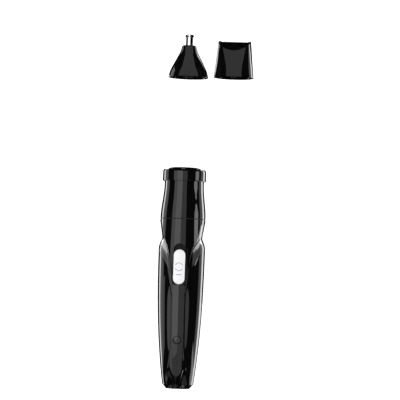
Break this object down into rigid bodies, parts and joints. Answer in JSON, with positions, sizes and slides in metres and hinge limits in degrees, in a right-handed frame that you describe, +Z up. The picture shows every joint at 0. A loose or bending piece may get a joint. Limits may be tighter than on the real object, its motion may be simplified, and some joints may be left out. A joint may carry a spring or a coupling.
{
  "type": "nose hair trimmer",
  "caption": "Cordless rechargeable trimmer handle with a slide switch, a push-on nose head with a rotary cutter, and a push-on detail head with a comb blade.",
  "frame": {"origin": "middle of the kit's bounding box, on the surface that the kit lies on", "axes": "+Y along the handle from its tail to its heads, +Z up out of the switch, +X towards the detail head"},
  "size_m": [0.0587, 0.2344, 0.0303],
  "materials": {
    "black_gloss": "piano black",
    "black_satin": "satin",
    "white_gloss": "glossy white",
    "clear_smoke": "translucent smoke",
    "steel": "ground",
    "bright_steel": "polished",
    "brass": "bright",
    "bush_bronze": "sintered",
    "rubber": "soft",
    "board_green": "solder mask",
    "cell_wrap": "shrink wrap",
    "wire": "insulated",
    "grey_plastic": "moulded",
    "led": "clear"
  },
  "bodies": {
    "handle": {"front_shell": "black_gloss", "back_shell": "black_gloss", "neck_collar": "black_gloss", "collar_gasket": "rubber", "head_spigot": "black_satin", "shaft_seal": "rubber", "base_cap": "black_gloss", "shell_screw": "steel", "charge_socket": "bright_steel", "charge_tongue": "black_satin", "charge_board": "board_green", "charge_leads": "wire", "battery": "cell_wrap", "battery_tabs": "bright_steel", "circuit_board": "board_green", "slide_switch_case": "steel", "indicator_led": "led", "indicator_lens": "clear_smoke", "motor_can": "steel", "motor_end_bell": "white_gloss", "motor_terminals": "brass", "motor_frame": "grey_plastic", "motor_screws": "steel", "motor_leads": "wire"},
    "switch": {"switch_button": "white_gloss", "switch_clip": "grey_plastic", "switch_peg": "black_satin"},
    "drive": {"motor_shaft": "steel", "drive_coupler": "grey_plastic"},
    "nose_head": {"nose_shell": "black_gloss", "nose_core": "black_satin", "nose_bush": "bush_bronze", "nose_guide": "black_satin", "nose_guard": "bright_steel"},
    "nose_rotor": {"nose_rotor_shaft": "grey_plastic", "nose_spring": "steel", "nose_cutter": "bright_steel"},
    "trim_head": {"trim_shell": "black_gloss", "trim_core": "black_satin", "trim_bush": "bush_bronze", "fixed_blade": "bright_steel", "blade_screws": "steel"},
    "trim_blade": {"moving_blade": "bright_steel", "blade_yoke": "grey_plastic", "blade_spring": "steel"},
    "trim_rotor": {"trim_rotor_shaft": "grey_plastic", "trim_spring": "steel"}
  },
  "joints": [
    {"name": "switch_slide", "type": "slide", "parent": "handle", "child": "switch", "axis": [0, 1, 0], "range_m": [0, 0.0035]},
    {"name": "drive_spin", "type": "hinge", "parent": "handle", "child": "drive", "pos_m": [-0.01392, 0.01285, 0.0146], "axis": [0, 1, 0], "continuous": true},
    {"name": "nose_head_pull", "type": "slide", "parent": "handle", "child": "nose_head", "axis": [0, 1, 0], "range_m": [-0.064, 0]},
    {"name": "nose_rotor_spin", "type": "hinge", "parent": "nose_head", "child": "nose_rotor", "pos_m": [-0.01392, 0.09825, 0.0146], "axis": [0, 1, 0], "continuous": true},
    {"name": "trim_head_lift", "type": "slide", "parent": "handle", "child": "trim_head", "axis": [0, 0, 1], "range_m": [0, 0.06]},
    {"name": "trim_blade_slide", "type": "slide", "parent": "trim_head", "child": "trim_blade", "axis": [1, 0, 0], "range_m": [-0.001, 0.001]},
    {"name": "trim_rotor_spin", "type": "hinge", "parent": "trim_head", "child": "trim_rotor", "pos_m": [0.01607, 0.09915, 0.013], "axis": [0, 1, 0], "continuous": true}
  ],
  "couplings": [
    {"joint": "nose_rotor_spin", "follows": "drive_spin", "ratio": 1}
  ]
}
